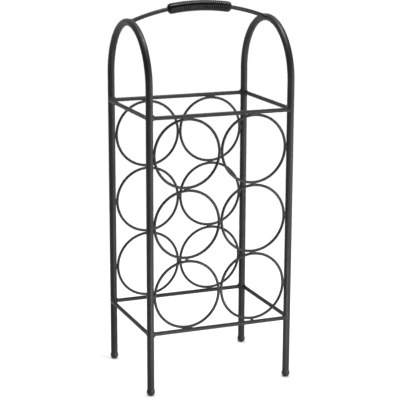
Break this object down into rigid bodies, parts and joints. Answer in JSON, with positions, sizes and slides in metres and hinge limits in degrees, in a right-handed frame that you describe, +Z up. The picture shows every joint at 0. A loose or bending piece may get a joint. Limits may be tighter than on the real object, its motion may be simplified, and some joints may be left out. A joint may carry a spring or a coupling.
{
  "type": "wine rack",
  "caption": "Tall free-standing wire wine rack: two arched side tubes on ball feet, bottle rings front and rear, tie rails, and a bowed carrying handle with a wound grip.",
  "frame": {"origin": "on the floor at the middle of the four feet", "axes": "+Z up, -Y the front of the rack, +X its right-hand side seen from the front"},
  "size_m": [0.2312, 0.1834, 0.5685],
  "materials": {
    "frame": "satin charcoal powder coat",
    "foot_ball": "satin charcoal powder coat",
    "grip_wire": "gloss black lacquer",
    "grip_trim": "gloss black lacquer"
  },
  "bodies": {
    "root": {"corner_welds": "frame", "front_bottom_rail": "frame", "front_left_bottom_ring": "frame", "front_left_foot": "foot_ball", "front_left_middle_ring": "frame", "front_left_top_ring": "frame", "front_right_bottom_ring": "frame", "front_right_foot": "foot_ball", "front_right_middle_ring": "frame", "front_right_top_ring": "frame", "front_ring_welds": "frame", "front_top_rail": "frame", "grip_core": "grip_trim", "grip_left_ferrule": "grip_trim", "grip_right_ferrule": "grip_trim", "grip_winding": "grip_wire", "handle_rod": "frame", "handle_welds": "frame", "left_bottom_rail": "frame", "left_side_arch": "frame", "left_top_rail": "frame", "rear_bottom_rail": "frame", "rear_left_bottom_ring": "frame", "rear_left_foot": "foot_ball", "rear_left_middle_ring": "frame", "rear_left_top_ring": "frame", "rear_right_bottom_ring": "frame", "rear_right_foot": "foot_ball", "rear_right_middle_ring": "frame", "rear_right_top_ring": "frame", "rear_ring_welds": "frame", "rear_top_rail": "frame", "right_bottom_rail": "frame", "right_side_arch": "frame", "right_top_rail": "frame"}
  },
  "joints": []
}
